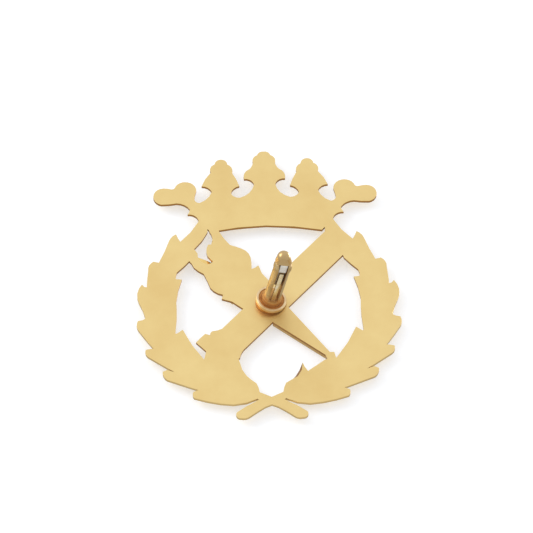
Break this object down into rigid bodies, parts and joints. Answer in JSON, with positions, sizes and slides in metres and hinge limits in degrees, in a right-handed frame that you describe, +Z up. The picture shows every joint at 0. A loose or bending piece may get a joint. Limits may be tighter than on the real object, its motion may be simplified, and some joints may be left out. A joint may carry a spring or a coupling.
{
  "type": "cap badge",
  "caption": "Pierced gilt cap badge, crowned laurel wreath with crossed torch and baton, on a forked post whose sprung toggle swings to lock behind the cap.",
  "frame": {"origin": "foot of the post on the flat back of the badge, where the back bears on the cap", "axes": "+Z up through the crown as worn, +Y out of the back along the way the post leaves, front face towards -Y"},
  "size_m": [0.036, 0.0128, 0.0453],
  "materials": {
    "gilt_plate": "satin silver-gilt",
    "gilt_relief": "polished high points over satin silver-gilt",
    "post_gilt": "worn and tarnished gilt",
    "solder": "dark fired solder",
    "bright_steel": "bright, lightly tarnished"
  },
  "bodies": {
    "badge": {"back_plate": "gilt_plate", "crown_relief": "gilt_relief", "crown_circlet": "gilt_relief", "laurel_left": "gilt_relief", "laurel_right": "gilt_relief", "torch": "gilt_relief", "baton": "gilt_relief", "solder": "solder", "base_cup": "post_gilt", "post_fork": "post_gilt", "leaf_spring": "bright_steel", "hinge_pin": "bright_steel"},
    "toggle": {"toggle": "bright_steel"}
  },
  "joints": [
    {"name": "toggle_swivel", "type": "hinge", "parent": "badge", "child": "toggle", "pos_m": [-0.00167, 0.00823, 0], "axis": [-0.9799, -0.1994, 0], "range_deg": [0, 90]}
  ]
}
